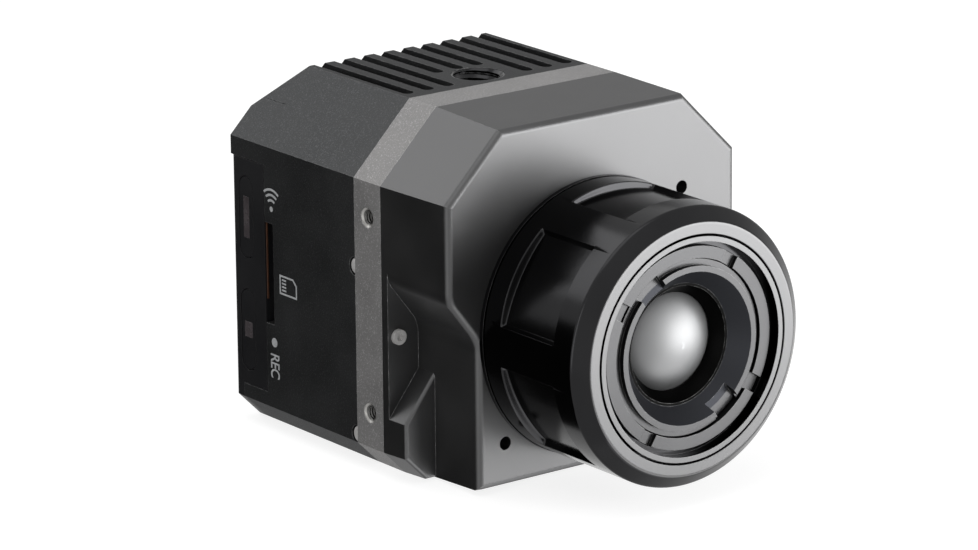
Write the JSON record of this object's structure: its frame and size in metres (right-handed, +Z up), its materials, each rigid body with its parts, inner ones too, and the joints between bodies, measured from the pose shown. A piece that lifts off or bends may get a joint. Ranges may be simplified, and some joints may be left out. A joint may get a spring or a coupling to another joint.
{
  "type": "thermal imaging camera",
  "caption": "Compact thermal imaging camera: finned cast housing, bare metal frame band, tapered front cover with stepped side recesses, and a manual focus infrared lens.",
  "frame": {"origin": "on the flat underside, straight below the axis of the tripod thread in the roof", "axes": "+Z up out of the tripod thread, the lens looks along -Y, +X to the right seen from the lens side"},
  "size_m": [0.0444, 0.0639, 0.0452],
  "materials": {
    "housing_coat": "satin dark cast housing",
    "cover_coat": "satin dark front cover",
    "black_plastic": "fine matte black",
    "bare_frame": "blasted bare metal",
    "black_anodised": "black anodised",
    "grey_anodised": "satin grey anodised",
    "steel": "plain steel",
    "rubber": "black seal rubber",
    "germanium": "coated infrared glass, opaque to light",
    "board": "amber circuit board",
    "chip_black": "moulded chip",
    "ceramic": "detector package",
    "thermal_pad": "soft grey pad",
    "dark_window": "smoked light window",
    "clear_led": "moulded light"
  },
  "bodies": {
    "camera_body": {"board_connectors": "black_plastic", "board_screws": "steel", "card_socket": "steel", "coax_jacks": "steel", "collar_screws": "steel", "cover_gasket": "rubber", "cover_screws": "steel", "detector_package": "ceramic", "detector_window": "germanium", "focus_clip": "steel", "frame_ring": "bare_frame", "frame_screws": "steel", "front_cover": "cover_coat", "front_standoffs": "steel", "heat_spreader": "grey_anodised", "housing_gasket": "rubber", "lens_collar": "black_anodised", "nose_screws": "steel", "processor_board": "board", "processor_chips": "chip_black", "rear_cover": "black_plastic", "rear_housing": "housing_coat", "rear_standoffs": "steel", "sensor_board": "board", "shutter_coil": "black_plastic", "shutter_frame": "black_anodised", "socket_board": "board", "status_leds": "clear_led", "tact_switches": "black_plastic", "thermal_pads": "thermal_pad", "tripod_insert": "steel", "usb_socket": "steel", "wireless_module": "steel"},
    "focus_ring": {"focus_ring": "black_anodised"},
    "lens_cell": {"lens_cell": "black_anodised", "outer_retaining_ring": "grey_anodised", "inner_retaining_ring": "grey_anodised", "front_lens": "germanium", "lens_spacer": "black_anodised", "rear_lens": "germanium", "rear_lens_ring": "black_anodised", "guide_pins": "steel"},
    "shutter": {"shutter_flag": "black_anodised"},
    "wireless_button": {"wireless_button": "black_plastic", "wireless_window": "dark_window", "wireless_plunger": "black_plastic"},
    "record_button": {"record_button": "black_plastic", "record_window": "dark_window", "record_plunger": "black_plastic"}
  },
  "joints": [
    {"name": "focus_turn", "type": "hinge", "parent": "camera_body", "child": "focus_ring", "pos_m": [0, -0.033, 0.0196], "axis": [0, -1, 0], "range_deg": [0, 120]},
    {"name": "lens_travel", "type": "slide", "parent": "camera_body", "child": "lens_cell", "axis": [0, -1, 0], "range_m": [0, 0.0008]},
    {"name": "shutter_swing", "type": "hinge", "parent": "camera_body", "child": "shutter", "pos_m": [0.009, -0.01915, 0.036], "axis": [0, 1, 0], "range_deg": [-50, 0], "stiffness_Nm_per_rad": 0.0003, "springref_deg": 20.05},
    {"name": "wireless_press", "type": "slide", "parent": "camera_body", "child": "wireless_button", "axis": [1, 0, 0], "range_m": [0, 0.00035], "stiffness_N_per_m": 800, "springref_m": -0.0005},
    {"name": "record_press", "type": "slide", "parent": "camera_body", "child": "record_button", "axis": [1, 0, 0], "range_m": [0, 0.00035], "stiffness_N_per_m": 800, "springref_m": -0.0005}
  ],
  "couplings": [
    {"joint": "lens_travel", "follows": "focus_turn", "m_per_rad": 0.00038159}
  ]
}
